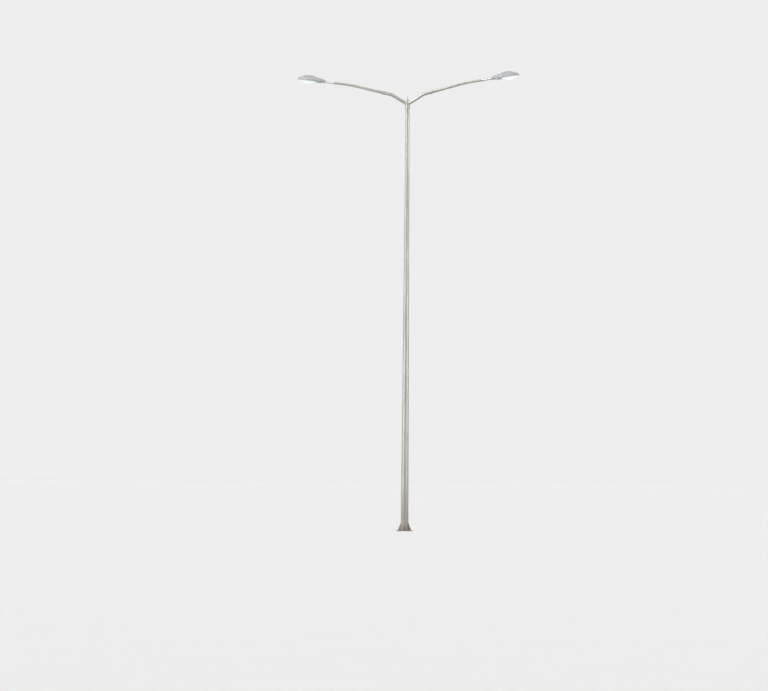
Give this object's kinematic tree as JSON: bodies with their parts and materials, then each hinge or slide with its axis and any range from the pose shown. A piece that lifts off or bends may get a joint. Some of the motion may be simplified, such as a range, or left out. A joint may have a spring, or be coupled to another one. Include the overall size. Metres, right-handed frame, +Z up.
{
  "type": "street light with two arms",
  "caption": "Tall tapered round steel street light with two long bent arms, a pointed finial between them and a tilted oval lamp head with a glass bowl on each arm.",
  "frame": {"origin": "middle of the base plate's underside, on the shaft's axis", "axes": "+Z up the shaft, +X across the road along the right arm, +Y along the road; the service door faces -Y"},
  "size_m": [6.3998, 0.4, 12.8755],
  "materials": {
    "pole_coat": "weathered warm grey coat over galvanised steel, semi-gloss",
    "finial_metal": "plain metal, dull at the cone and bright at the tip",
    "neck_metal": "bare galvanised steel",
    "lamp_casting": "powder coated cast aluminium, fine grain",
    "seal_rubber": "matt black",
    "bowl_glass": "prismatic glass, lit from inside, cool white",
    "board_metal": "white faced plate",
    "lens_clear": "clear moulded domes, lit",
    "latch_steel": "spring steel"
  },
  "bodies": {
    "root": {"base_plate": "pole_coat", "gusset_right": "pole_coat", "gusset_back": "pole_coat", "gusset_left": "pole_coat", "gusset_front": "pole_coat", "shaft": "pole_coat", "door_frame": "pole_coat", "door_cover": "pole_coat", "top_collar": "pole_coat", "hub": "pole_coat", "finial_cone": "finial_metal", "finial_tip": "finial_metal", "arm_root_right": "pole_coat", "arm_root_left": "pole_coat", "arm_joint_right": "pole_coat", "arm_joint_left": "pole_coat", "arm_right": "pole_coat", "arm_left": "pole_coat", "arm_sleeve_right": "neck_metal", "arm_sleeve_left": "neck_metal", "neck_tube_right": "neck_metal", "neck_tube_left": "neck_metal", "neck_clamp_right": "lamp_casting", "neck_clamp_left": "lamp_casting", "lamp_canopy_right": "lamp_casting", "lamp_canopy_left": "lamp_casting", "gear_cover_right": "lamp_casting", "gear_cover_left": "lamp_casting", "bowl_frame_right": "lamp_casting", "bowl_frame_left": "lamp_casting", "lamp_gasket_right": "seal_rubber", "lamp_gasket_left": "seal_rubber", "lamp_bowl_right": "bowl_glass", "lamp_bowl_left": "bowl_glass", "lamp_board_right": "board_metal", "lamp_board_left": "board_metal", "lens_panel_right": "lens_clear", "lens_panel_left": "lens_clear", "nose_latch_right": "latch_steel", "nose_latch_left": "latch_steel"}
  },
  "joints": []
}
